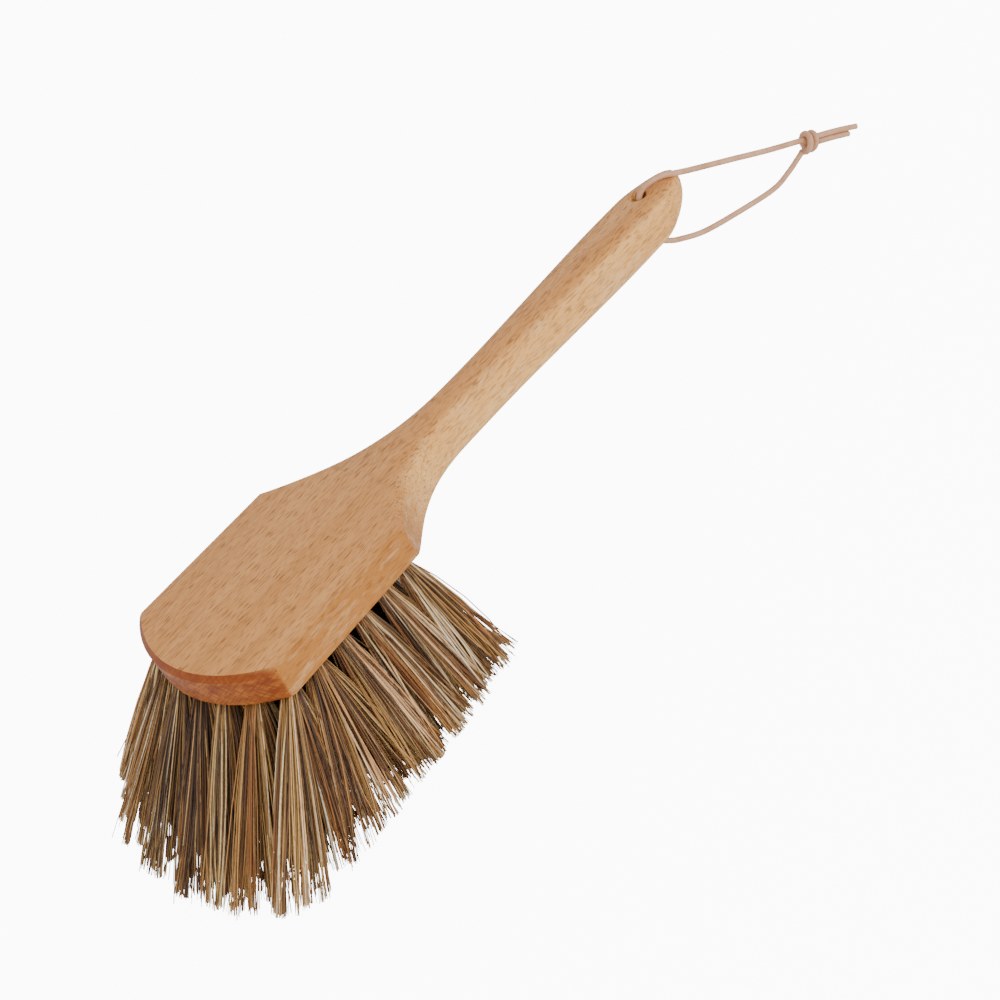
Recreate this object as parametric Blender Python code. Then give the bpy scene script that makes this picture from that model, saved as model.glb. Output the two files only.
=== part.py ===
# Garden furniture brush: one piece of oiled beech, tufts of mixed plant fibre set in
# drilled holes, and a round leather thong through the end of the handle.
# Metres, +Z up. The brush stands on its bristle tips at z = 0, with its handle along +X.
# In the working frame below, x = 0 is the shoulder line, where the head ends and the neck
# starts, and y = 0 is the middle plane. At the end all of it hangs from one empty, moved
# so that the wood and the tufts are centred over the origin.

import math

import bmesh
import bpy
from mathutils import Matrix, Vector

MM = 0.001

# Head, seen from above
head_width = 76.0 * MM
head_straight = 61.0 * MM
toe_bulge = 14.0 * MM
head_thickness = 12.0 * MM
head_chamfer = 1.8 * MM
bottom_easing = 0.4 * MM

# Neck and handle
neck_length = 75.5 * MM
neck_waist = 17.0 * MM
neck_sweep = 3.2
grip_width = 24.7 * MM
grip_place = 179.5 * MM
handle_length = 221.0 * MM
handle_thickness = 20.2 * MM
thickening_length = 45.0 * MM
thickening_shape = 6.0
neck_dip = 2.05 * MM
dip_start = 8.0 * MM
dip_end = 69.0 * MM
handle_slope = 0.016
handle_rounding = 6.5 * MM
nose_length = 29.6 * MM
nose_plan_shape = 1.7
nose_side_shape = 2.5
nose_lift = 3.3 * MM

# Thong hole through the end of the handle
thong_hole_from_tip = 26.0 * MM
thong_hole_diameter = 6.6 * MM
thong_hole_easing = 1.2 * MM

# Tufts. Each row has its number of tufts, from the middle row outward. The outer rows lie
# on both sides. The rows start in turn at the middle start and at the side start.
bristle_height = 58.0 * MM
tuft_hole_diameter = 6.6 * MM
tuft_hole_depth = 9.0 * MM
tuft_clearance = 0.3 * MM
tufts_in_rows = (5, 6, 5, 6)
middle_start = 12.0 * MM
side_start = 5.0 * MM
side_margin = 5.0 * MM
toe_margin = 6.5 * MM
tuft_fill = 0.92
strand_gap = 0.2 * MM
strand_swell = 0.97
root_recess = 0.5 * MM
heel_flare = 17.0
near_toe_flare = 27.0
far_toe_flare = 37.0
near_side_flare = 6.5
far_heel_flare = 12.0
far_corner_flare = 28.0
anchor_width = 0.7 * MM
anchor_height = 1.1 * MM

# Leather thong. Its loop lies in one upright plane through the axis of its hole. The runs
# give its own points as reach from that axis and rise above the hole's top mouth.
thong_diameter = 2.6 * MM
thong_gap = 0.3 * MM
thong_turn = -18.0
thong_bend = 5.6 * MM
upper_run = ((10.5, 1.9), (14.5, 1.0), (19.0, -0.9), (26.0, -3.7), (36.0, -7.3), (50.0, -12.3), (66.0, -18.1))
in_hole = ((-0.3, -5.8), (-0.3, -12.1), (0.9, -17.2))
lower_run = ((1.7, -20.2), (3.2, -23.2), (6.6, -25.8), (12.0, -28.5), (24.8, -32.6), (44.5, -34.9), (64.0, -36.0))
lower_rise = (73.6, -33.6)
knot_reach = 88.6 * MM
knot_drop = 26.9 * MM
knot_tilt = -17.0
knot_length = 9.6 * MM
knot_width = 9.6 * MM
knot_flatness = 0.88
strand_spacing = 3.0 * MM
long_tail = 22.5 * MM
short_tail = 18.0 * MM
tail_droop = 0.05

side_steps = 5
toe_steps = 9
neck_steps = 18
handle_steps = 14
nose_steps = 10
edge_steps = 4
nose_end = 84.0
hole_sides = 12
thong_hole_sides = 24
tuft_sides = 6


def material(name, colour, roughness):
    made = bpy.data.materials.new(name)
    made.use_nodes = True
    shader = made.node_tree.nodes["Principled BSDF"]
    shader.inputs["Base Color"].default_value = (*colour, 1.0)
    shader.inputs["Roughness"].default_value = roughness
    shader.inputs["Metallic"].default_value = 0.0
    made.diffuse_color = (*colour, 1.0)
    return made


def object_from(bm, name, its_material, smooth_angle=35.0):
    mesh = bpy.data.meshes.new(name)
    bmesh.ops.recalc_face_normals(bm, faces=bm.faces)
    bm.to_mesh(mesh)
    bm.free()
    mesh.shade_smooth()
    mesh.set_sharp_from_angle(angle=math.radians(smooth_angle))
    if its_material:
        mesh.materials.append(its_material)
    made = bpy.data.objects.new(name, mesh)
    bpy.context.scene.collection.objects.link(made)
    return made


def cut(target, bm, name):
    """Takes the closed bodies in bm out of the target."""
    cutter = object_from(bm, name, None)
    cutter.hide_render = True
    cutter.display_type = "WIRE"
    modifier = target.modifiers.new(name, "BOOLEAN")
    modifier.operation = "DIFFERENCE"
    modifier.solver = "EXACT"
    modifier.object = cutter
    return cutter


def smooth_step(value):
    value = min(1.0, max(0.0, value))
    return value * value * (3.0 - 2.0 * value)


def blend(first, second, share):
    return first + (second - first) * share


def turned(bm, profile, sides, place):
    """A closed turned body from (radius, height) steps, low end first."""
    rings = []
    for radius, height in profile:
        matrix = place @ Matrix.Translation((0.0, 0.0, height))
        ring = bmesh.ops.create_circle(bm, segments=sides, radius=radius, matrix=matrix)
        rings.append(ring["verts"])
    for lower, upper in zip(rings, rings[1:]):
        for step in range(sides):
            after = (step + 1) % sides
            bm.faces.new((lower[step], lower[after], upper[after], upper[step]))
    bm.faces.new(rings[0])
    bm.faces.new(rings[-1])


# Wooden body

toe_radius = ((head_width / 2) ** 2 + toe_bulge**2) / (2 * toe_bulge)
toe_centre = toe_radius - head_straight - toe_bulge
nose_start = handle_length - nose_length


def nose_share(x):
    return min(1.0, max(0.0, (x - nose_start) / nose_length))


def nose_taper(x, shape):
    """How much of the full size is left at x in the rounded end."""
    return (1.0 - nose_share(x) ** shape) ** (1.0 / shape)


def half_width(x):
    """Half the width of the neck and handle at x, seen from above."""
    if x <= neck_length:
        sweep = (1.0 - x / neck_length) ** neck_sweep
        return blend(neck_waist / 2, head_width / 2, sweep)
    share = smooth_step((x - neck_length) / (grip_place - neck_length))
    return blend(neck_waist / 2, grip_width / 2, share) * nose_taper(x, nose_plan_shape)


def top_and_bottom(x):
    """Heights of the top face and the underside at x."""
    dip = neck_dip * smooth_step((x - dip_start) / (dip_end - dip_start))
    slope = handle_slope * max(0.0, x - neck_length / 2)
    top = bristle_height + head_thickness - dip - slope
    along = min(1.0, max(0.0, x / thickening_length))
    share = 1.0 - (1.0 - along) ** thickening_shape
    half = blend(head_thickness, handle_thickness, share) / 2
    middle = top - half + nose_lift * nose_share(x) ** 2
    half *= nose_taper(x, nose_side_shape)
    return middle + half, middle - half


def plan_outline():
    """One long side of the body seen from above, from the toe's middle to the handle's end."""
    points = []
    widest = math.asin(head_width / 2 / toe_radius)
    for step in range(toe_steps):
        angle = widest * step / toe_steps
        x = toe_centre - toe_radius * math.cos(angle)
        points.append((x, toe_radius * math.sin(angle)))
    for step in range(side_steps):
        points.append((-head_straight * (1.0 - step / side_steps), head_width / 2))
    for step in range(neck_steps):
        x = neck_length * (step / neck_steps) ** 1.25
        points.append((x, half_width(x)))
    for step in range(handle_steps):
        x = blend(neck_length, nose_start, step / handle_steps)
        points.append((x, half_width(x)))
    for step in range(nose_steps + 1):
        angle = math.radians(nose_end) * step / nose_steps
        x = nose_start + nose_length * math.sin(angle)
        points.append((x, half_width(x)))
    return points


def inward(outline, index):
    """Mitred direction into the wood at one point of the outline, straight across past the neck."""
    here = Vector(outline[index])
    if here.x >= neck_length:
        return Vector((0.0, -1.0))
    before = Vector(outline[index - 1]) if index else Vector((outline[1][0], -outline[1][1]))
    edges = (here - before, Vector(outline[index + 1]) - here)
    normals = [Vector((edge.y, -edge.x)).normalized() for edge in edges]
    middle = (normals[0] + normals[1]).normalized()
    return middle / middle.dot(normals[0])


def edge_profile(x):
    """Steps of inset and height from the underside's edge, round the side, to the top's edge."""
    top, bottom = top_and_bottom(x)
    most_inset = 0.92 * half_width(x) if x > 0 else head_chamfer
    most_rise = 0.46 * (top - bottom)
    into_nose = smooth_step(nose_share(x))
    roundness = smooth_step(x / (0.75 * neck_length))

    def corner(easing):
        size = blend(easing, handle_rounding, roundness)
        return (
            blend(min(size, most_inset), most_inset, into_nose),
            blend(min(size, most_rise), most_rise, into_nose),
        )

    steps = []
    inset, rise = corner(bottom_easing)
    for step in range(edge_steps + 1):
        angle = math.pi / 2 * step / edge_steps
        steps.append((inset * (1 - math.sin(angle)), bottom + rise * (1 - math.cos(angle))))
    inset, rise = corner(head_chamfer)
    for step in range(edge_steps + 1):
        angle = math.pi / 2 * step / edge_steps
        across = blend(step / edge_steps, 1 - math.cos(angle), roundness)
        up = blend(step / edge_steps, math.sin(angle), roundness)
        steps.append((inset * across, top - rise * (1 - up)))
    return steps


def body_mesh():
    outline = plan_outline()
    bm = bmesh.new()
    left, right = [], []
    for index, (x, y) in enumerate(outline):
        direction = inward(outline, index)
        spots = [
            (x + direction.x * inset, y + direction.y * inset, height)
            for inset, height in edge_profile(x)
        ]
        left.append([bm.verts.new(spot) for spot in spots])
        if index:
            right.append([bm.verts.new((spot[0], -spot[1], spot[2])) for spot in spots])
        else:
            right.append(left[0])
    levels = len(left[0])
    for index in range(len(outline) - 1):
        for level in range(levels - 1):
            for side in (left, right):
                here, after = side[index], side[index + 1]
                bm.faces.new((here[level], here[level + 1], after[level + 1], after[level]))
        for level in (0, -1):
            strip = [left[index][level], left[index + 1][level], right[index + 1][level]]
            if index:
                strip.append(right[index][level])
            bm.faces.new(strip)
    end = bm.faces.new(left[-1] + right[-1][::-1])
    bmesh.ops.recalc_face_normals(bm, faces=bm.faces)
    bmesh.ops.poke(bm, faces=[end], offset=handle_length - outline[-1][0])
    return bm


# Tufts

plug_radius = tuft_hole_diameter / 2 * math.cos(math.pi / hole_sides) - tuft_clearance
hole_end = bristle_height + tuft_hole_depth
row_pitch = (head_width / 2 - side_margin) / (len(tufts_in_rows) - 1)
field_half = (head_straight + toe_bulge) / 2


def toe_edge(y):
    return toe_centre - math.sqrt(toe_radius**2 - y**2)


def tuft_places():
    """Middle of each tuft hole, and the distance between the tufts of its row."""
    places = []
    for row, count in enumerate(tufts_in_rows):
        first = side_start if row % 2 else middle_start
        last = -toe_edge(row * row_pitch) - toe_margin
        pitch = (last - first) / (count - 1)
        for side in (-1, 1) if row else (1,):
            for number in range(count):
                places.append((-first - number * pitch, side * row * row_pitch, pitch))
    return places


def lean(x, y):
    """How far a strand drifts along X and along Y for each unit that it drops."""
    across = y / (head_width / 2)
    to_far_side = (1.0 + across) / 2
    if x > -field_half:
        to_heel = (x + field_half) / field_half
        drift_x = math.tan(math.radians(heel_flare)) * to_heel**1.6
        to_toe = 0.0
    else:
        edge = -toe_edge(min(abs(y), head_width / 2)) - toe_margin
        to_toe = (-x - field_half) / (edge - field_half)
        flare = blend(near_toe_flare, far_toe_flare, to_far_side)
        drift_x = -math.tan(math.radians(flare)) * to_toe**1.4
    flare = blend(far_heel_flare, far_corner_flare, to_toe) if y > 0 else near_side_flare
    drift_y = math.copysign(math.tan(math.radians(flare)) * abs(across) ** 1.3, across)
    return drift_x, drift_y


def tip_of(point, x, y, pitch):
    """Where a point of a tuft's packed root ends at the tips, inside the tuft's own cell of the field."""
    spread = tuft_fill / (2 * plug_radius)
    root_x = x + (point.x - x) * spread * pitch
    root_y = y + (point.y - y) * spread * row_pitch
    drift_x, drift_y = lean(root_x, root_y)
    return Vector((root_x + drift_x * bristle_height, root_y + drift_y * bristle_height, 0.0))


def tuft_mesh(x, y, pitch):
    """A packed root with its folded end over the anchor wire, and twelve strands that end flat at z = 0."""
    low = bristle_height + root_recess
    high = hole_end - tuft_clearance - anchor_height
    bm = bmesh.new()
    bmesh.ops.create_cone(
        bm,
        cap_ends=True,
        segments=tuft_sides,
        radius1=plug_radius,
        radius2=plug_radius,
        depth=high - low,
        matrix=Matrix.Translation((x, y, (low + high) / 2)),
    )
    bm.normal_update()
    mouth = min(bm.faces, key=lambda face: face.normal.z)
    fold = max(bm.faces, key=lambda face: face.normal.z)

    # Anchor wire across the fold
    bmesh.ops.inset_region(bm, faces=[fold], thickness=0.25 * plug_radius)
    for vert in fold.verts:
        vert.co.x = x + (vert.co.x - x) * anchor_width / (1.5 * plug_radius)
    raised = bmesh.ops.extrude_discrete_faces(bm, faces=[fold])["faces"]
    for vert in raised[0].verts:
        vert.co.z += anchor_height

    # Strands
    outer = bmesh.ops.inset_region(bm, faces=[mouth], thickness=0.42 * plug_radius)["faces"]
    inner = bmesh.ops.poke(bm, faces=[mouth])["faces"]
    cells = outer + inner
    bmesh.ops.inset_individual(bm, faces=cells, thickness=strand_gap / 2, use_even_offset=True)
    for strand in bmesh.ops.extrude_discrete_faces(bm, faces=cells)["faces"]:
        tips = [tip_of(vert.co, x, y, pitch) for vert in strand.verts]
        middle = sum(tips, Vector()) / len(tips)
        for vert, tip in zip(strand.verts, tips):
            vert.co = middle.lerp(tip, strand_swell)
    return bm


# Thong

hole_x = handle_length - thong_hole_from_tip
hole_top, hole_bottom = top_and_bottom(hole_x)


def in_thong_plane(reach, height):
    """A point of the loop's upright plane, measured from the axis of the thong hole."""
    angle = math.radians(thong_turn)
    return Vector((reach * math.cos(angle), reach * math.sin(angle), height))


def thong_hole_mesh():
    bm = bmesh.new()
    radius = thong_hole_diameter / 2
    mouth = []
    for step in range(4):
        angle = math.pi / 2 * step / 3
        mouth.append((
            radius + thong_hole_easing * (1 - math.cos(angle)),
            thong_hole_easing * (1 - math.sin(angle)),
        ))
    mouth.append((radius + thong_hole_easing, -3.0 * MM))
    profile = [(size, hole_bottom + depth) for size, depth in reversed(mouth)]
    profile += [(size, hole_top - depth) for size, depth in mouth]
    turned(bm, profile, thong_hole_sides, Matrix.Translation((hole_x, 0.0, 0.0)))
    return bm


def knot_frame():
    """Middle of the knot and the direction of its length, with the side of its upper strand."""
    middle = in_thong_plane(knot_reach, hole_top - knot_drop)
    tilt = math.radians(knot_tilt)
    along = in_thong_plane(math.cos(tilt), math.sin(tilt))
    above = in_thong_plane(-math.sin(tilt), math.cos(tilt))
    return middle, along, above


def knot_profile():
    """Radius and place along the knot's length, from the end on the loop's side."""
    ends = strand_spacing / 2 + thong_diameter / 2 + 0.2 * MM
    profile = []
    for step in range(9):
        along_it = 2.0 * step / 8 - 1.0
        bulge = math.sqrt(max(0.0, 1.0 - abs(along_it) ** 2.6))
        lumps = 1.0 + 0.05 * math.cos(2.0 * math.pi * along_it + math.pi)
        profile.append((blend(ends, knot_width / 2 * lumps, bulge), along_it * knot_length / 2))
    return profile


def smooth_path(points, steps):
    """Points read from a smooth curve that passes through the given ones."""
    padded = [2 * points[0] - points[1], *points, 2 * points[-1] - points[-2]]
    path = []
    for start, first, second, end in zip(padded, padded[1:], padded[2:], padded[3:]):
        for step in range(steps):
            t = step / steps
            path.append(0.5 * (
                2 * first
                + (second - start) * t
                + (2 * start - 5 * first + 4 * second - end) * t**2
                + (3 * first - start - 3 * second + end) * t**3
            ))
    path.append(points[-1])
    return path


def tube(points, name, its_material, steps):
    """A round tube through the points, as a curve with filled ends."""
    curve = bpy.data.curves.new(name, "CURVE")
    curve.dimensions = "3D"
    curve.bevel_depth = thong_diameter / 2
    curve.bevel_resolution = 2
    curve.use_fill_caps = True
    path = smooth_path(points, steps)
    spline = curve.splines.new("POLY")
    spline.points.add(len(path) - 1)
    for spot, place in zip(spline.points, path):
        spot.co = (*place, 1.0)
    curve.materials.append(its_material)
    made = bpy.data.objects.new(name, curve)
    bpy.context.scene.collection.objects.link(made)
    return made


def loop_points():
    """The loop from the knot, over the handle's end, down through its hole and back to the knot."""
    middle, along, above = knot_frame()
    face = middle - along * (knot_length / 2 + thong_gap)
    half = above * strand_spacing / 2
    points = [face + half, face + half - along * 1.2 * thong_diameter]
    for reach, rise in reversed(upper_run):
        points.append(in_thong_plane(reach * MM, hole_top + rise * MM))
    bend_height = hole_top - thong_bend + thong_diameter / 2 + thong_gap + 0.3 * MM
    for angle in (90, 120, 150, 180):
        reach = thong_bend * (1 + math.cos(math.radians(angle))) - thong_gap
        height = bend_height + thong_bend * math.sin(math.radians(angle))
        points.append(in_thong_plane(reach, height))
    for reach, rise in (*in_hole, *lower_run, lower_rise):
        points.append(in_thong_plane(reach * MM, hole_top + rise * MM))
    (first_radius, first_place), (second_radius, second_place) = knot_profile()[:2]
    grown, advanced = second_radius - first_radius, second_place - first_place
    into_knot = (along * grown + above * advanced).normalized()
    seat = middle + along * (first_place + second_place) / 2
    seat -= above * (first_radius + second_radius) / 2 + into_knot * thong_gap
    points += [seat - into_knot * 1.2 * thong_diameter, seat]
    return points


def knot_mesh():
    middle, along, above = knot_frame()
    place = Matrix((above, along.cross(above), along)).transposed().to_4x4()
    place.translation = middle
    bm = bmesh.new()
    flat = Matrix.Diagonal((1.0, knot_flatness, 1.0, 1.0))
    turned(bm, knot_profile(), 16, place @ flat)
    return bm


def tail_points(side, length):
    middle, along, above = knot_frame()
    start = middle + along * (knot_length / 2 + thong_gap) + above * side * strand_spacing / 2
    points = [start]
    for share in (0.25, 0.6, 1.0):
        points.append(start + along * share * length - above * tail_droop * share**2 * length)
    return points


# Assembly

for leftover in list(bpy.data.objects):
    bpy.data.objects.remove(leftover, do_unlink=True)

beech = material("oiled_beech", (0.66, 0.45, 0.27), 0.45)
fibre = material("plant_fibre", (0.36, 0.21, 0.10), 0.75)
leather = material("pale_leather", (0.74, 0.56, 0.44), 0.6)

body = object_from(body_mesh(), "beech_body", beech)
places = tuft_places()
drilled = bmesh.new()
for x, y, pitch in places:
    ends = ((tuft_hole_diameter / 2, bristle_height - 2.0 * MM), (tuft_hole_diameter / 2, hole_end))
    turned(drilled, ends, hole_sides, Matrix.Translation((x, y, 0.0)))
cutters = [cut(body, drilled, "tuft_holes"), cut(body, thong_hole_mesh(), "thong_hole")]

tufts = []
for number, (x, y, pitch) in enumerate(places, 1):
    tufts.append(object_from(tuft_mesh(x, y, pitch), f"tuft_{number:02d}", fibre))

thong = [
    tube(loop_points(), "thong_loop", leather, 3),
    object_from(knot_mesh(), "thong_knot", leather, 60.0),
    tube(tail_points(1, long_tail), "thong_tail_long", leather, 1),
    tube(tail_points(-1, short_tail), "thong_tail_short", leather, 1),
]

# The thong swings about the axis of its hole, and everything hangs from the brush's empty
brush = bpy.data.objects.new("brush", None)
swing = bpy.data.objects.new("thong_swing", None)
for empty in (brush, swing):
    bpy.context.scene.collection.objects.link(empty)
swing.location = (hole_x, 0.0, 0.0)
for held in thong:
    held.parent = swing
for held in (body, swing, *cutters, *tufts):
    held.parent = brush
across_x = [vert.co.x for tuft in tufts for vert in tuft.data.vertices] + [handle_length]
across_y = [vert.co.y for tuft in tufts for vert in tuft.data.vertices]
brush.location.x = -(min(across_x) + max(across_x)) / 2
brush.location.y = -(min(across_y) + max(across_y)) / 2
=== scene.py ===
import math
import random

import bmesh
import bpy
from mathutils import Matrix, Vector


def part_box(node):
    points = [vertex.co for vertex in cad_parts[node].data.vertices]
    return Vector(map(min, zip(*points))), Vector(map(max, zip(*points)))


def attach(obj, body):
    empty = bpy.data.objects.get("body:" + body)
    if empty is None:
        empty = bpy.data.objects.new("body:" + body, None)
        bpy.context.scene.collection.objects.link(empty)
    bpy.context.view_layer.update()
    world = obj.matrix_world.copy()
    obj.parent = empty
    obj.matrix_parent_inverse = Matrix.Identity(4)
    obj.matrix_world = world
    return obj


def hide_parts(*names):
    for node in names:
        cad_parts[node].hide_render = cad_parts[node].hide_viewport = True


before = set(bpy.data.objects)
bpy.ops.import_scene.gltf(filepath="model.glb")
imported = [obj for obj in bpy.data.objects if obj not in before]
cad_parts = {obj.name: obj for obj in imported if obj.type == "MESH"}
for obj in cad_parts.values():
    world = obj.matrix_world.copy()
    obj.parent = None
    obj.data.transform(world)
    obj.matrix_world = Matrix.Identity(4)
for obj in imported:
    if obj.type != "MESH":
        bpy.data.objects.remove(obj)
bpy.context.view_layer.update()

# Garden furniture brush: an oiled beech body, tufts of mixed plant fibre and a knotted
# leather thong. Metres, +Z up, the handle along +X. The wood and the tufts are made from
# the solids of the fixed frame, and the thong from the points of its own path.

MM = 0.001

# Sizes that the fixed frame shares with this scene
head_straight = 61.0 * MM
head_width = 76.0 * MM
head_thickness = 12.0 * MM
handle_length = 221.0 * MM
hole_from_tip = 26.0 * MM
hole_top = 65.462 * MM

# Thong, in the upright plane of its loop. The runs give reach from the axis of the hole and
# rise above the hole's top mouth, in millimetres.
thong_diameter = 2.6 * MM
thong_gap = 0.3 * MM
thong_turn = -18.0
thong_bend = 5.6 * MM
bend_lift = 0.3 * MM
bend_angles = (180, 150, 120, 90)
upper_run = (
    (10.5, 1.9), (14.5, 1.0), (19.0, -0.9), (26.0, -3.7), (36.0, -7.3), (50.0, -12.3), (66.0, -18.1),
)
in_hole = ((-0.3, -5.8), (-0.3, -12.1), (0.9, -17.2))
lower_run = (
    (1.7, -20.2), (3.2, -23.2), (6.6, -25.8), (12.0, -28.5), (24.8, -32.6), (44.5, -34.9), (64.0, -36.0),
)
lower_rise = (73.6, -33.6)
lead_in = 1.2 * thong_diameter

# Knot and tails
knot_reach = 88.6 * MM
knot_drop = 26.9 * MM
knot_tilt = -17.0
knot_length = 9.6 * MM
knot_seat_back = 4.42 * MM
knot_seat_down = 3.86 * MM
knot_seat_angle = 42.6
strand_spacing = 3.0 * MM
core_rise = 0.3
wrap_turns = 1.9
wrap_steps = 17
wrap_start = -100.0
wrap_shift = 2.9 * MM
wrap_lead = 0.6 * MM
wrap_radius = 3.9 * MM
wrap_narrowing = 0.6 * MM
wrap_swell = 1.04
long_tail = 22.5 * MM
short_tail = 18.0 * MM
tail_droop = 0.05
tails_closer = 0.87
strand_steps = 6
knot_steps = 4

body_low, body_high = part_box("beech_body")
shoulder_x = body_high.x - handle_length
middle_y = (body_low.y + body_high.y) / 2
head_top = body_high.z
underside = head_top - head_thickness
hole_x = body_high.x - hole_from_tip


def from_shoulder(x, y, z):
    """A point given from the middle of the shoulder line, at the height of the head's top face."""
    return Vector((shoulder_x + x, middle_y + y, head_top + z))


# Camera

camera_place = from_shoulder(-168.56 * MM, -333.14 * MM, 232.96 * MM)
camera_angles = [math.radians(angle) for angle in (51.462, 21.787, -51.504)]

bpy.ops.object.select_all(action="DESELECT")
bpy.ops.object.camera_add(location=camera_place, rotation=camera_angles)
camera = bpy.context.object
camera.name = "camera"
camera.data.lens = 46.8
camera.data.sensor_width = 36.0
camera.data.clip_start = 0.01
bpy.context.scene.camera = camera


# Small helpers

weld_distance = 0.002 * MM


def only(piece):
    bpy.ops.object.select_all(action="DESELECT")
    piece.select_set(True)
    bpy.context.view_layer.objects.active = piece


def linked(name, data):
    piece = bpy.data.objects.new(name, data)
    bpy.context.scene.collection.objects.link(piece)
    return piece


def weld(piece, level_angle=None):
    """Joins corners that lie together and, where an angle is given, faces that are level to it."""
    only(piece)
    bpy.ops.object.mode_set(mode="EDIT")
    bpy.ops.mesh.select_all(action="SELECT")
    bpy.ops.mesh.remove_doubles(threshold=weld_distance)
    if level_angle:
        bpy.ops.mesh.dissolve_limited(angle_limit=math.radians(level_angle))
    bpy.ops.object.mode_set(mode="OBJECT")


def blend(first, second, share):
    return first + (second - first) * share


def clamped(value):
    return min(1.0, max(0.0, value))


def share_between(value, start, end):
    """How far the value has come from the start to the end, from 0 to 1."""
    return clamped((value - start) / (end - start))


def linear(red, green, blue):
    """A colour as the eye reads it, 0 to 255, as the shader takes it."""
    return tuple((value / 255) ** 2.2 for value in (red, green, blue)) + (1.0,)


# Shader building


class Nodes:
    """Adds and joins nodes in one tree."""

    def __init__(self, tree):
        self.tree = tree

    def add(self, kind, inputs=None, **settings):
        node = self.tree.nodes.new(kind)
        for name, value in settings.items():
            setattr(node, name, value)
        for name, value in (inputs or {}).items():
            self.feed(node.inputs[name], value)
        return node

    def feed(self, socket, value):
        if isinstance(value, bpy.types.NodeSocket):
            self.tree.links.new(value, socket)
        else:
            socket.default_value = value

    def math(self, operation, *values):
        node = self.add("ShaderNodeMath", operation=operation)
        for socket, value in zip(node.inputs, values):
            self.feed(socket, value)
        return node.outputs[0]

    def rest_of(self, mask):
        return self.math("SUBTRACT", 1.0, mask)

    def mix(self, share, first, second):
        inputs = {"Factor": share, "A": first, "B": second}
        return self.add("ShaderNodeMix", inputs, data_type="RGBA").outputs["Result"]

    def laid_over(self, base, mask, strength, colour):
        """The base with a colour over it where the mask is white, up to the strength."""
        return self.mix(self.math("MULTIPLY", mask, strength), base, colour)

    def ramp(self, value, stops):
        node = self.add("ShaderNodeValToRGB", {"Fac": value})
        while len(node.color_ramp.elements) < len(stops):
            node.color_ramp.elements.new(0.5)
        for element, (place, colour) in zip(node.color_ramp.elements, stops):
            element.position = place
            element.color = colour
        return node.outputs["Color"]

    def step(self, value, low, high):
        """A mask that rises softly from 0 to 1 while the value goes from low to high."""
        inputs = {"Value": value, "From Min": low, "From Max": high}
        return self.add("ShaderNodeMapRange", inputs, interpolation_type="SMOOTHSTEP").outputs["Result"]

    def noise(self, vector, scale, detail=3.0, roughness=0.5):
        """Noise of one scale, or with a scale of its own along each axis."""
        if isinstance(scale, tuple):
            vector, scale = self.stretched(vector, scale), 1.0
        inputs = {"Vector": vector, "Scale": scale, "Detail": detail, "Roughness": roughness}
        return self.add("ShaderNodeTexNoise", inputs).outputs["Fac"]

    def stretched(self, vector, scale, turn=0.0):
        """The vector turned about X by some degrees, then scaled along each axis."""
        rotation = (math.radians(turn), 0.0, 0.0)
        turned = self.add("ShaderNodeMapping", {"Vector": vector, "Rotation": rotation})
        return self.add("ShaderNodeMapping", {"Vector": turned.outputs[0], "Scale": scale}).outputs[0]


def material(name, roughness):
    made = bpy.data.materials.new(name)
    made.use_nodes = True
    shader = made.node_tree.nodes["Principled BSDF"]
    shader.inputs["Roughness"].default_value = roughness
    return made, Nodes(made.node_tree), shader


# Beech. Scales of its noise are per metre, along the grain, across the board and through it

board_bands = (7.0, 110.0, 80.0)
streak_scale = (14.0, 480.0, 480.0)
ray_patches = (42.0, 170.0, 170.0)
end_blotches = (120.0, 120.0, 260.0)
end_rays = (1.0, 170.0, 1500.0)
end_ray_turns = (38.0, -42.0)
handle_from = 4.0 * MM
handle_to = 34.0 * MM

# Flecks: how many a metre along the grain and across it, and the threshold of their noise
coarse_flecks = {"Length": 210.0, "Width": 1700.0, "Threshold": 0.61}
fine_flecks = {"Length": 330.0, "Width": 2500.0, "Threshold": 0.58}
fleck_softness = 0.08
fleck_depth = 0.1 * MM

board_brown = ((0.32, linear(195, 130, 67)), (0.68, linear(213, 149, 86)))
# Painted light: the paler colour of the handle's lit sides
handle_side_painted_light = ((0.32, linear(226, 161, 86)), (0.68, linear(242, 183, 106)))
head_side_brown = linear(163, 103, 40)
streak_brown = linear(178, 118, 62)
ray_cream = linear(234, 190, 138)
painted_ridge_shade = linear(180, 118, 64)
fleck_brown = linear(128, 76, 36)
end_grain = ((0.35, linear(123, 59, 12)), (0.65, linear(168, 98, 34)))
end_ray_brown = linear(110, 44, 10)
# Painted shade on the rounding where the handle's sides meet its top
chamfer_brown = linear(126, 56, 16)
wood_roughness = 0.45
fleck_roughness = 0.15
wood_gloss = 0.22


def grain_lines():
    """Fine dark pores that run along X, with their length, width and share of the surface."""
    tree = bpy.data.node_groups.new("grain_lines", "ShaderNodeTree")
    tree.interface.new_socket("Vector", in_out="INPUT", socket_type="NodeSocketVector")
    for socket in ("Length", "Width", "Threshold"):
        tree.interface.new_socket(socket, in_out="INPUT", socket_type="NodeSocketFloat")
    tree.interface.new_socket("Mask", in_out="OUTPUT", socket_type="NodeSocketFloat")
    nodes = Nodes(tree)
    given, out = nodes.add("NodeGroupInput").outputs, nodes.add("NodeGroupOutput").inputs
    sizes = {"X": given["Length"], "Y": given["Width"], "Z": given["Width"]}
    scale = nodes.add("ShaderNodeCombineXYZ", sizes).outputs[0]
    pores = nodes.noise(nodes.stretched(given["Vector"], scale), 1.0, 0.0)
    high = nodes.math("ADD", given["Threshold"], fleck_softness)
    nodes.feed(out["Mask"], nodes.step(pores, given["Threshold"], high))
    return tree


grain = grain_lines()


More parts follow.
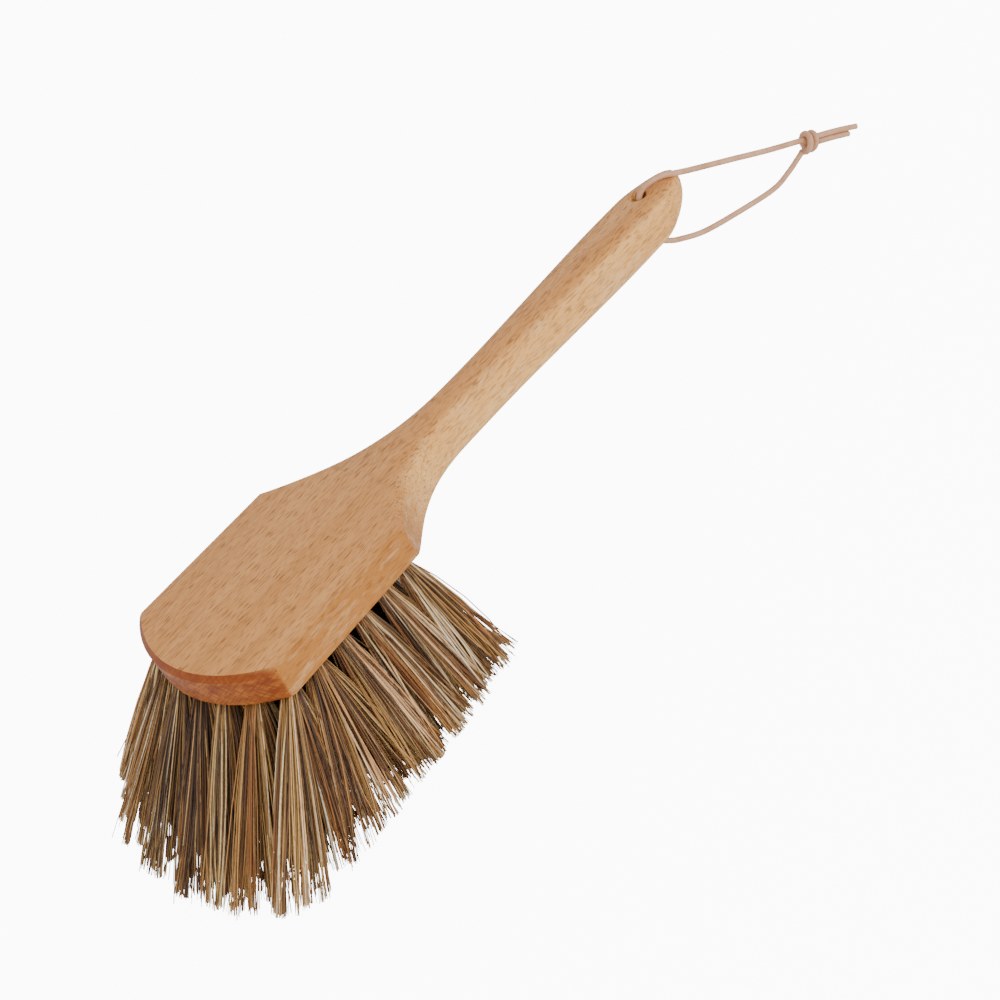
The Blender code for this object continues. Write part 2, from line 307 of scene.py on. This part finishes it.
def beech():
    made, nodes, shader = material("oiled_beech", wood_roughness)
    place = nodes.add("ShaderNodeTexCoord")
    along, normal = place.outputs["Object"], place.outputs["Normal"]
    facing = nodes.add("ShaderNodeSeparateXYZ", {"Vector": normal}).outputs
    spot = nodes.add("ShaderNodeSeparateXYZ", {"Vector": along}).outputs
    uneven = nodes.math("MULTIPLY", nodes.math("SUBTRACT", nodes.noise(along, 260.0), 0.5), 0.5)
    on_toe = nodes.step(nodes.math("MULTIPLY", facing["X"], -1.0), 0.4, 0.6)
    on_top = nodes.step(facing["Z"], 0.35, 0.9)
    on_side = nodes.step(nodes.math("ABSOLUTE", facing["Y"]), 0.3, 0.75)
    on_handle = nodes.step(spot["X"], shoulder_x + handle_from, shoulder_x + handle_to)

    # Broad bands of colour along the board, browner on top; the handle's sides are painted paler, a
    # painted light for the sides the light falls on
    bands = nodes.noise(along, board_bands)
    head_side = nodes.math("MULTIPLY", on_side, nodes.rest_of(on_handle))
    brown = nodes.laid_over(nodes.ramp(bands, board_brown), head_side, 0.8, head_side_brown)
    wood = nodes.laid_over(brown, on_side, on_handle, nodes.ramp(bands, handle_side_painted_light))
    streaks = nodes.step(nodes.noise(along, streak_scale), 0.46, 0.7)
    wood = nodes.laid_over(wood, streaks, 0.4, streak_brown)

    # Pale ray patches on the sides, and a painted shade: a darker streak where the handle's sides meet
    # its top
    patches = nodes.step(nodes.noise(along, ray_patches, 4.0, 0.6), 0.5, 0.62)
    wood = nodes.laid_over(wood, nodes.math("MULTIPLY", patches, on_side), 0.3, ray_cream)
    from_top = nodes.step(nodes.math("ADD", facing["Z"], uneven), 0.5, 0.8)
    ridge_shade_mask = nodes.math("MULTIPLY", from_top, nodes.rest_of(nodes.step(facing["Z"], 0.85, 0.99)))
    wood = nodes.laid_over(wood, nodes.math("MULTIPLY", ridge_shade_mask, on_handle), 0.55, painted_ridge_shade)

    # Pores and short rays, darker on top and none on the toe
    coarse, fine = (
        nodes.add("ShaderNodeGroup", {"Vector": along, **sizes}, node_tree=grain).outputs["Mask"]
        for sizes in (coarse_flecks, fine_flecks)
    )
    flecks = nodes.math("MAXIMUM", coarse, nodes.math("MULTIPLY", fine, 0.6))
    flecks = nodes.math("MULTIPLY", flecks, nodes.rest_of(on_toe))
    wood = nodes.laid_over(wood, flecks, nodes.math("MULTIPLY_ADD", on_top, 0.15, 0.5), fleck_brown)

    # End grain of the toe, darker on the chamfer, with rays that cross
    end_tone = nodes.ramp(nodes.noise(along, end_blotches), end_grain)
    for turn in end_ray_turns:
        rays = nodes.step(nodes.noise(nodes.stretched(along, end_rays, turn), 1.0, 1.0), 0.5, 0.6)
        end_tone = nodes.laid_over(end_tone, rays, 0.5, end_ray_brown)
    chamfer = nodes.step(nodes.math("ADD", facing["Z"], uneven), 0.1, 0.7)
    end_tone = nodes.laid_over(end_tone, chamfer, 0.6, chamfer_brown)

    nodes.feed(shader.inputs["Base Color"], nodes.mix(on_toe, wood, end_tone))
    roughness = nodes.math("MULTIPLY_ADD", flecks, fleck_roughness, wood_roughness)
    nodes.feed(shader.inputs["Roughness"], roughness)
    shader.inputs["Specular IOR Level"].default_value = wood_gloss
    height = nodes.math("MULTIPLY", flecks, -1.0)
    bump = nodes.add("ShaderNodeBump", {"Height": height, "Strength": 0.25, "Distance": fleck_depth})
    nodes.feed(shader.inputs["Normal"], bump.outputs["Normal"])
    return made


# Plant fibre. Each fibre has a tone, dark to pale, and a warmth, straw to rust. Its run goes
# from root to tip, and its shade is how much painted shade, the dark between the tufts, lies on its
# root.

straw = (
    (0.0, linear(64, 49, 42)),
    (0.3, linear(128, 93, 54)),
    (0.55, linear(190, 148, 82)),
    (0.78, linear(228, 200, 142)),
    (1.0, linear(246, 232, 200)),
)
rust = (
    (0.0, linear(52, 32, 24)),
    (0.4, linear(132, 74, 34)),
    (0.7, linear(190, 114, 50)),
    (1.0, linear(228, 168, 108)),
)
fibre_streaks = (1500.0, 1500.0, 90.0)
fibre_streak_brown = linear(104, 70, 42)
# Painted shade laid on the roots of tufts inside the field, as in the dark gaps between tufts
painted_root_shade = linear(24, 16, 14)


def plant_fibre():
    made, nodes, shader = material("plant_fibre", 0.55)
    tone, warmth, run, shade = (
        nodes.add("ShaderNodeAttribute", attribute_name=f"fibre_{trait}").outputs["Fac"]
        for trait in ("tone", "warmth", "run", "shade")
    )
    tip_paler = nodes.math("MULTIPLY", nodes.math("SUBTRACT", run, 0.5), 0.16)
    tone = nodes.math("ADD", tone, tip_paler)
    colour = nodes.mix(warmth, nodes.ramp(tone, straw), nodes.ramp(tone, rust))
    place = nodes.add("ShaderNodeTexCoord").outputs["Object"]
    streaks = nodes.step(nodes.noise(place, fibre_streaks, 2.0), 0.45, 0.75)
    colour = nodes.laid_over(colour, streaks, 0.45, fibre_streak_brown)
    near_root = nodes.rest_of(nodes.step(run, 0.1, 0.75))
    # Painted shade: roots of hidden tufts darkened towards the wood
    colour = nodes.laid_over(colour, near_root, shade, painted_root_shade)
    nodes.feed(shader.inputs["Base Color"], colour)
    return made


# Leather

hide = ((0.3, linear(182, 130, 94)), (0.7, linear(206, 156, 120)))
crease_depth = 0.2 * MM


def pale_leather():
    made, nodes, shader = material("pale_leather", 0.55)
    place = nodes.add("ShaderNodeTexCoord").outputs["Object"]
    nodes.feed(shader.inputs["Base Color"], nodes.ramp(nodes.noise(place, 220.0), hide))
    creases = nodes.noise(place, 2600.0, 2.0)
    bump = nodes.add("ShaderNodeBump", {"Height": creases, "Strength": 0.2, "Distance": crease_depth})
    nodes.feed(shader.inputs["Normal"], bump.outputs["Normal"])
    return made


# Thong


def smooth_path(points, steps):
    """Points read from a smooth curve that passes through the given ones."""
    padded = [2 * points[0] - points[1], *points, 2 * points[-1] - points[-2]]
    path = []
    for start, first, second, end in zip(padded, padded[1:], padded[2:], padded[3:]):
        for step in range(steps):
            t = step / steps
            path.append(0.5 * (
                2 * first
                + (second - start) * t
                + (2 * start - 5 * first + 4 * second - end) * t**2
                + (3 * first - start - 3 * second + end) * t**3
            ))
    path.append(points[-1])
    return path


def round_lace(name, path, finish, diameter=thong_diameter):
    curve = bpy.data.curves.new(name, "CURVE")
    curve.dimensions = "3D"
    curve.bevel_depth = diameter / 2
    curve.bevel_resolution = 4
    curve.use_fill_caps = True
    spline = curve.splines.new("POLY")
    spline.points.add(len(path) - 1)
    for spot, place in zip(spline.points, path):
        spot.co = (*place, 1.0)
    spline.use_smooth = True
    curve.materials.append(finish)
    return linked(name, curve)


def in_thong_plane(reach, height):
    """A point of the loop's upright plane, measured from the axis of the hole."""
    angle = math.radians(thong_turn)
    return Vector((hole_x + reach * math.cos(angle), middle_y + reach * math.sin(angle), height))


tilt = math.radians(knot_tilt)
seat_angle = math.radians(knot_seat_angle)
knot_middle = in_thong_plane(knot_reach, hole_top - knot_drop)
along_knot = in_thong_plane(math.cos(tilt), math.sin(tilt)) - in_thong_plane(0.0, 0.0)
above_knot = in_thong_plane(-math.sin(tilt), math.cos(tilt)) - in_thong_plane(0.0, 0.0)
to_knot_face = along_knot * (knot_length / 2 + thong_gap)
half_spacing = above_knot * strand_spacing / 2
knot_seat = knot_middle - along_knot * knot_seat_back - above_knot * knot_seat_down
into_knot = along_knot * math.cos(seat_angle) + above_knot * math.sin(seat_angle)


def run_points(run):
    return [in_thong_plane(reach * MM, hole_top + rise * MM) for reach, rise in run]


def loop_strands():
    """The two strands of the loop, each from the middle of the hole to the knot."""
    bend_height = hole_top - thong_bend + thong_diameter / 2 + thong_gap + bend_lift
    upper = run_points(in_hole[1::-1])
    for angle in bend_angles:
        reach = thong_bend * (1 + math.cos(math.radians(angle))) - thong_gap
        height = bend_height + thong_bend * math.sin(math.radians(angle))
        upper.append(in_thong_plane(reach, height))
    upper += run_points(upper_run)
    face = knot_middle - to_knot_face + half_spacing
    upper += [face - along_knot * lead_in, face]
    lower = run_points((*in_hole[1:], *lower_run, lower_rise))
    lower += [knot_seat - into_knot * lead_in, knot_seat]
    return upper, lower


def knot_core(finish):
    """The upper strand's run through the knot."""
    path = [
        knot_middle - to_knot_face + half_spacing,
        knot_middle + half_spacing * core_rise,
        knot_middle + to_knot_face + half_spacing,
    ]
    return round_lace("lace_core", smooth_path(path, strand_steps), finish)


def knot_wrap(finish):
    """The lower strand, wound round the upper one from its seat to its tail."""
    side = along_knot.cross(above_knot)
    wrap = [knot_seat]
    for step in range(wrap_steps + 1):
        share = step / wrap_steps
        angle = math.tau * wrap_turns * share + math.radians(wrap_start)
        shift = blend(-wrap_shift - wrap_lead, wrap_shift, share)
        radius = blend(wrap_radius, wrap_radius - wrap_narrowing, share)
        round_it = (above_knot * math.sin(angle) + side * math.cos(angle)) * radius
        wrap.append(knot_middle + along_knot * shift + round_it)
    wrap.append(knot_middle + to_knot_face - half_spacing)
    return round_lace("lace_wrap", smooth_path(wrap, knot_steps), finish, thong_diameter * wrap_swell)


def lace_tail(name, sign, tail_length, finish):
    start = knot_middle + to_knot_face + half_spacing * sign * tails_closer
    points = [start]
    for share in (0.25, 0.6, 1.0):
        reach = share * tail_length
        points.append(start + along_knot * reach - above_knot * tail_droop * reach**2 / long_tail)
    return round_lace(name, smooth_path(points, knot_steps), finish)


def thong_pieces(finish):
    upper, lower = loop_strands()
    core = knot_core(finish)
    wound = knot_wrap(finish)
    tails = [
        lace_tail("lace_tail_long", 1, long_tail, finish),
        lace_tail("lace_tail_short", -1, short_tail, finish),
    ]
    strands = []
    for name, points in (("upper", upper), ("lower", lower)):
        path = smooth_path(points, strand_steps)
        strand = round_lace(f"lace_{name}", path, finish)
        strands.append(strand)
    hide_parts("thong_loop")
    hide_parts("thong_knot")
    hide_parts("thong_tail_long")
    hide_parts("thong_tail_short")
    for piece in (*strands, core, wound, *tails):
        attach(piece, "thong")


# Wooden body

toe_corner = 7.0 * MM
shoulder_corner = 2.5 * MM
shoulder_bend = 51.0
corner_steps = 8
cut_above = 5.0 * MM
cut_below = 20.0 * MM
level_angle = 0.4
edge_angle = 35.0
edge_softening = 0.45 * MM
smooth_angle = 28.0
toe_depth = shoulder_x - head_straight - body_low.x
toe_bend = 90.0 - math.degrees(2 * math.atan2(toe_depth, head_width / 2))


def corner_outline(corner, away, side, radius, bend):
    """The waste outside a rounded corner of the head, seen from above: its arc, then its far side."""
    centre = corner - Vector((away * radius * math.tan(bend / 2), side * radius, 0.0))
    turns = [bend * step / corner_steps for step in range(corner_steps + 1)]
    ways = [Vector((away * math.sin(turn), side * math.cos(turn), 0.0)) for turn in turns]
    return [
        centre + ways[0] * 2 * radius,
        *(centre + way * radius for way in ways),
        centre + ways[-1] * 2 * radius,
        corner + (ways[0] + ways[-1]) * radius,
    ]


def corner_cutter():
    """Four upright wedges that round the head's corners when they are taken away from it."""
    shape = bmesh.new()
    for x, away, radius, bend in (
        (shoulder_x - head_straight, -1, toe_corner, math.radians(toe_bend)),
        (shoulder_x, 1, shoulder_corner, math.radians(shoulder_bend)),
    ):
        for side in (-1, 1):
            corner = Vector((x, middle_y + side * head_width / 2, 0.0))
            outline = corner_outline(corner, away, side, radius, bend)
            tops, lows = (
                [shape.verts.new((spot.x, spot.y, height)) for spot in outline]
                for height in (head_top + cut_above, underside - cut_below)
            )
            for here in range(len(outline)):
                after = (here + 1) % len(outline)
                shape.faces.new((tops[here], tops[after], lows[after], lows[here]))
            shape.faces.new(tops)
            shape.faces.new(lows)
    bmesh.ops.recalc_face_normals(shape, faces=shape.faces)
    wedges = bpy.data.meshes.new("corner_cutter")
    shape.to_mesh(wedges)
    shape.free()
    return linked("corner_cutter", wedges)


def beech_body(finish):
    piece = linked("beech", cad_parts["beech_body"].data.copy())
    weld(piece, level_angle)
    cutter = corner_cutter()
    cut = piece.modifiers.new("rounded_corners", "BOOLEAN")
    cut.operation = "DIFFERENCE"
    cut.solver = "EXACT"
    cut.object = cutter
    bpy.ops.object.modifier_apply(modifier="rounded_corners")
    bpy.data.objects.remove(cutter)
    bevel = piece.modifiers.new("softened_edges", "BEVEL")
    bevel.limit_method = "ANGLE"
    bevel.angle_limit = math.radians(edge_angle)
    bevel.width = edge_softening
    bevel.segments = 2
    bpy.ops.object.modifier_apply(modifier="softened_edges")
    bpy.ops.object.shade_smooth_by_angle(angle=math.radians(smooth_angle))
    piece.data.materials.clear()
    piece.data.materials.append(finish)
    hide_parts("beech_body")
    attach(piece, "brush")


# Tufts. Each is made of wisps, and the fibres of a wisp lie together

wisps_in_tuft = 40
fibres_in_wisp = 9
wisp_width = 1.0 * MM
stray_width = 5.0 * MM
stray_chance = 0.05
root_scatter = 0.25 * MM
least_weight = 0.001
root_depth = 1.5 * MM
fibre_points = 5
fibre_sides = 4
fibre_width = 0.9 * MM
fibre_taper = 0.85
fibre_bow = 0.015
longest_fibre = 72.0 * MM
wisp_raggedness = 0.008
toe_raggedness = 0.01
fibre_raggedness = 0.01

# Kinds of fibre, each up to its share of all: tones, dark to pale, and shares of the width
fibre_kinds = (
    (0.36, (0.0, 0.28), (0.32, 0.5)),
    (0.76, (0.28, 0.66), (0.38, 0.6)),
    (1.0, (0.75, 1.0), (0.5, 0.85)),
)
kind_kept = 0.6
toe_finer = 0.15

# How far from the shoulder line the toe's and the heel's own lean set in and are full
toe_zone = (12.0 * MM, 60.0 * MM)
heel_zone = (20.0 * MM, 6.0 * MM)

# How far the tips are moved, in millimetres
heel_pull = 6.0
side_pull = 2.2
toe_push = 4.8
toe_push_start = 3.3
toe_push_fall = 3.0
corner_splay = 10.0

# How the tips spread, as a share of the frame's own spread, and where they end
tip_spread = Vector((1.6, 1.5, 1.0))
far_tip_spread = Vector((1.6, 1.1, 1.0))
near_corner_spread = Vector((2.1, 1.5, 1.0))
tip_margin = 2.5 * MM
corner_reach = 160.0 * MM
to_far_corner = Vector((-1.0, 1.0, 0.0))
splay_chance = 0.3
splayed_length = (0.98, 0.7)
near_corner_length = 0.985

# Tones and warmths of whole tufts. The far side is paler and cooler, the middle of the toe darker
tuft_tone = (0.04, 0.03)
tuft_warmth = (0.12, 0.38)
far_side_tone = 0.07
far_side_warmth = -0.15
toe_tone = -0.22
wisp_warmth_spread = 0.3
fibre_warmth_spread = 0.15
# How much painted shade darkens the roots of outer and of inner tufts
open_shade = 0.1
hidden_shade = 0.95

# How near a corner of the frame's tufts lies to the floor or the wood to be at its end
end_room = 1.0 * MM
same_spot = 0.01 * MM

tuft_boxes = [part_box(f"tuft_{number:02d}") for number in range(1, 40)]
field_low = Vector(min(low[axis] for low, high in tuft_boxes) for axis in (0, 1, 2))
field_high = Vector(max(high[axis] for low, high in tuft_boxes) for axis in (0, 1, 2))


class Stand:
    """Where a tuft stands: across the field, -1 to 1, and near the toe and the heel, 0 to 1."""

    def __init__(self, root, roots):
        row = [other.x for other in roots if abs(other.y - root.y) < end_room]
        self.across = (root.y - middle_y) / (head_width / 2)
        self.at_toe = share_between(shoulder_x - root.x, *toe_zone)
        self.at_heel = share_between(shoulder_x - root.x, *heel_zone)
        self.outermost = abs(self.across) > 0.8 or root.x < min(row) + end_room
        self.far = max(0.0, self.across)
        self.near = max(0.0, -self.across)

    def tip_shift(self):
        """How far the tips stand from where the frame has them."""
        push = toe_push * self.at_toe * (toe_push_start - toe_push_fall * self.at_toe)
        outward = self.near * (push - side_pull * (1.0 - self.at_toe))
        return Vector((-heel_pull * self.at_heel, -outward, 0.0)) * MM

    def spread(self):
        if self.across < -0.5 and self.at_toe > 0.6:
            return near_corner_spread
        return far_tip_spread if self.across > 0.5 else tip_spread


def scatter(rng, size):
    return Vector((rng.gauss(0, 1), rng.gauss(0, 1), 0.0)) * size


def mixed(corners, weights):
    return sum((corner * weight for corner, weight in zip(corners, weights)), Vector()) / sum(weights)


def held_in_corner(tip):
    """The tip, pulled back where it passes the rounded far corner of the field."""
    beyond = (tip.y - middle_y) - (tip.x - shoulder_x) - corner_reach
    return tip - to_far_corner * max(0.0, beyond) / 2


def strand_ends(source):
    """Triangles at the foot of the frame's strands, each corner with the root corner above it."""

    def key(corner):
        return tuple(round(value / same_spot) for value in corner)

    above, feet = {}, []
    for face in source.data.polygons:
        corners = [source.data.vertices[index].co for index in face.vertices]
        low = [corner for corner in corners if corner.z < end_room]
        high = [corner for corner in corners if corner.z > underside - end_room]
        if len(low) == len(corners):
            feet += [(low[0], *pair) for pair in zip(low[1:], low[2:])]
        for corner in low:
            above.setdefault(key(corner), []).extend(high)
    roots = {place: sum(corners, Vector()) / len(corners) for place, corners in above.items()}
    return [[(corner, roots[key(corner)]) for corner in foot] for foot in feet]


def root_of(node):
    """Middle of a tuft's root, seen from above."""
    corners = [vert.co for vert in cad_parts[node].data.vertices]
    packed = [corner for corner in corners if corner.z > underside + 2 * end_room]
    across_x, across_y = ([corner[axis] for corner in packed] for axis in (0, 1))
    return Vector(((min(across_x) + max(across_x)) / 2, (min(across_y) + max(across_y)) / 2, 0.0))


def wisp(rng, foot, frame_tip, stand, warmth):
    """Root, tip, length, kind and warmth that the fibres of one wisp share."""
    weights = [-math.log(1.0 - rng.random()) + least_weight for corner in foot]
    tips, tops = zip(*foot)
    from_tip = (mixed(tips, weights) - frame_tip) * stand.spread()
    tip = held_in_corner(frame_tip + stand.tip_shift() + from_tip)
    root = mixed(tops, weights)
    root.z = underside + root_depth
    length = 1.0 - abs(rng.gauss(0, wisp_raggedness + toe_raggedness * stand.at_toe))
    if stand.at_toe > 0.9 and stand.across < -0.3:
        length *= near_corner_length
    if stand.at_toe > 0.8 and stand.across > 0.4 and rng.random() < splay_chance:
        splay = rng.random()
        tip += to_far_corner * splay * corner_splay * MM
        length *= blend(*splayed_length, splay)
    kind = rng.random() * (1.0 - toe_finer * stand.at_toe)
    return root, tip, length, kind, rng.gauss(warmth, wisp_warmth_spread)


def fibre_line(rng, root, tip, length):
    """Points of one fibre, a little bowed, from its root in the hole to its end."""
    stray = rng.random() > 1.0 - stray_chance
    tip = tip + scatter(rng, stray_width if stray else wisp_width)
    root = root + scatter(rng, root_scatter)
    reach = tip - root
    share = min(1.0, longest_fibre / reach.length) * length * (1.0 - abs(rng.gauss(0, fibre_raggedness)))
    end = root + reach * share
    end.x = min(field_high.x + tip_margin, max(field_low.x - tip_margin, end.x))
    end.y = min(field_high.y + tip_margin, max(field_low.y - tip_margin, end.y))
    bow = scatter(rng, fibre_bow * longest_fibre)
    shares = [step / (fibre_points - 1) for step in range(fibre_points)]
    return [root.lerp(end, share) + bow * 4 * share * (1 - share) for share in shares]


def fibre_traits(rng, kind):
    """Tone and width of one fibre."""
    tones, widths = next(ranges for up_to, *ranges in fibre_kinds if kind < up_to)
    return rng.uniform(*tones), rng.uniform(*widths)


def add_fibre(curve, points, width, traits, on_caps, on_tubes):
    """A thin tube through the points, with its traits noted for the mesh.

    The mesh lists all caps before the tubes, from the last fibre to the first. They are noted
    here from the first to the last, so the two ends of a fibre take on some of another's colour.
    """
    spline = curve.splines.new("POLY")
    spline.points.add(fibre_points - 1)
    for step, (point, place) in enumerate(zip(spline.points, points)):
        run = step / (fibre_points - 1)
        point.co = (*place, 1.0)
        point.radius = width * blend(1.0, fibre_taper, run)
        for trait, value in {**traits, "run": run}.items():
            on_tubes[trait] += [value] * fibre_sides
    for trait, value in traits.items():
        on_caps[trait] += [value] * 2 * fibre_sides
    on_caps["run"] += [1.0] * fibre_sides + [0.0] * fibre_sides


def tuft(node, number, finish, roots):
    stand = Stand(roots[node], roots.values())
    feet = strand_ends(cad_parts[node])
    frame_tip = sum((corner[0] for foot in feet for corner in foot), Vector()) / (3 * len(feet))
    curve = bpy.data.curves.new(f"fibres_{number:02d}", "CURVE")
    curve.dimensions = "3D"
    curve.bevel_depth = fibre_width / 2
    curve.bevel_resolution = 0
    curve.use_fill_caps = True

    rng = random.Random(1000 + number)
    darker = toe_tone * stand.at_toe * (1.0 - abs(stand.across))
    tone_shift = rng.gauss(*tuft_tone) + far_side_tone * stand.far + darker
    warmth = rng.uniform(*tuft_warmth) + far_side_warmth * stand.far
    shade = open_shade if stand.outermost else hidden_shade
    on_caps = {"tone": [], "warmth": [], "run": [], "shade": []}
    on_tubes = {"tone": [], "warmth": [], "run": [], "shade": []}
    order = rng.sample(feet, len(feet))
    for wisp_number in range(wisps_in_tuft):
        foot = order[wisp_number % len(order)]
        root, tip, length, kind, wisp_warmth = wisp(rng, foot, frame_tip, stand, warmth)
        for fibre in range(fibres_in_wisp):
            points = fibre_line(rng, root, tip, length)
            tone, width = fibre_traits(rng, kind if rng.random() < kind_kept else rng.random())
            traits = {
                "tone": clamped(tone + tone_shift),
                "warmth": clamped(rng.gauss(wisp_warmth, fibre_warmth_spread)),
                "shade": shade,
            }
            add_fibre(curve, points, width, traits, on_caps, on_tubes)

    only(linked(f"fibres_{number:02d}", curve))
    bpy.ops.object.convert(target="MESH")
    piece = bpy.context.object
    for trait in on_tubes:
        layer = piece.data.attributes.new(f"fibre_{trait}", "FLOAT", "POINT")
        layer.data.foreach_set("value", on_caps[trait] + on_tubes[trait])
    weld(piece)
    piece.data.materials.clear()
    piece.data.materials.append(finish)
    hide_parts(node)
    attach(piece, "brush")


# Floor and light

backdrop_glow = 10.0
room_light = 1.1


def floor():
    """A pale floor that the camera sees nearly white, as under a bright studio backdrop."""
    bpy.ops.mesh.primitive_plane_add(size=6.0, location=(0.0, 0.0, 0.0))
    piece = bpy.context.object
    piece.name = "studio_floor"
    made, nodes, shader = material("pale_floor", 0.8)
    shader.inputs["Base Color"].default_value = (0.9, 0.9, 0.9, 1.0)
    shader.inputs["Emission Color"].default_value = (1.0, 1.0, 1.0, 1.0)
    seen = nodes.add("ShaderNodeLightPath").outputs["Is Camera Ray"]
    nodes.feed(shader.inputs["Emission Strength"], nodes.math("MULTIPLY", seen, backdrop_glow))
    piece.data.materials.append(made)


def softbox(name, place, size, power):
    """A round lamp that faces the middle of the brush."""
    bpy.ops.object.light_add(type="AREA", location=place)
    lamp = bpy.context.object
    lamp.name = name
    lamp.data.shape = "DISK"
    lamp.data.size = size
    lamp.data.energy = power
    lamp.rotation_euler = (-Vector(place)).to_track_quat("-Z", "Y").to_euler()


def lighting():
    """Even room light, a backdrop that the camera sees nearly white, and two soft lamps."""
    world = bpy.data.worlds.new("studio")
    world.use_nodes = True
    sky = world.node_tree.nodes["Background"].inputs
    sky["Color"].default_value = (1.0, 1.0, 1.0, 1.0)
    nodes = Nodes(world.node_tree)
    seen = nodes.add("ShaderNodeLightPath").outputs["Is Camera Ray"]
    nodes.feed(sky["Strength"], nodes.math("MULTIPLY_ADD", seen, backdrop_glow - room_light, room_light))
    bpy.context.scene.world = world
    softbox("key", (0.5, -1.3, 0.6), 0.8, 12.0)
    softbox("front", (-1.1, -0.7, 0.5), 0.8, 5.0)


thong_pieces(pale_leather())
beech_body(beech())
fibre_finish = plant_fibre()
roots = {name: root_of(name) for name in sorted(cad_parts) if name.startswith("tuft_")}
for number, node in enumerate(roots, 1):
    tuft(node, number, fibre_finish, roots)
floor()
lighting()
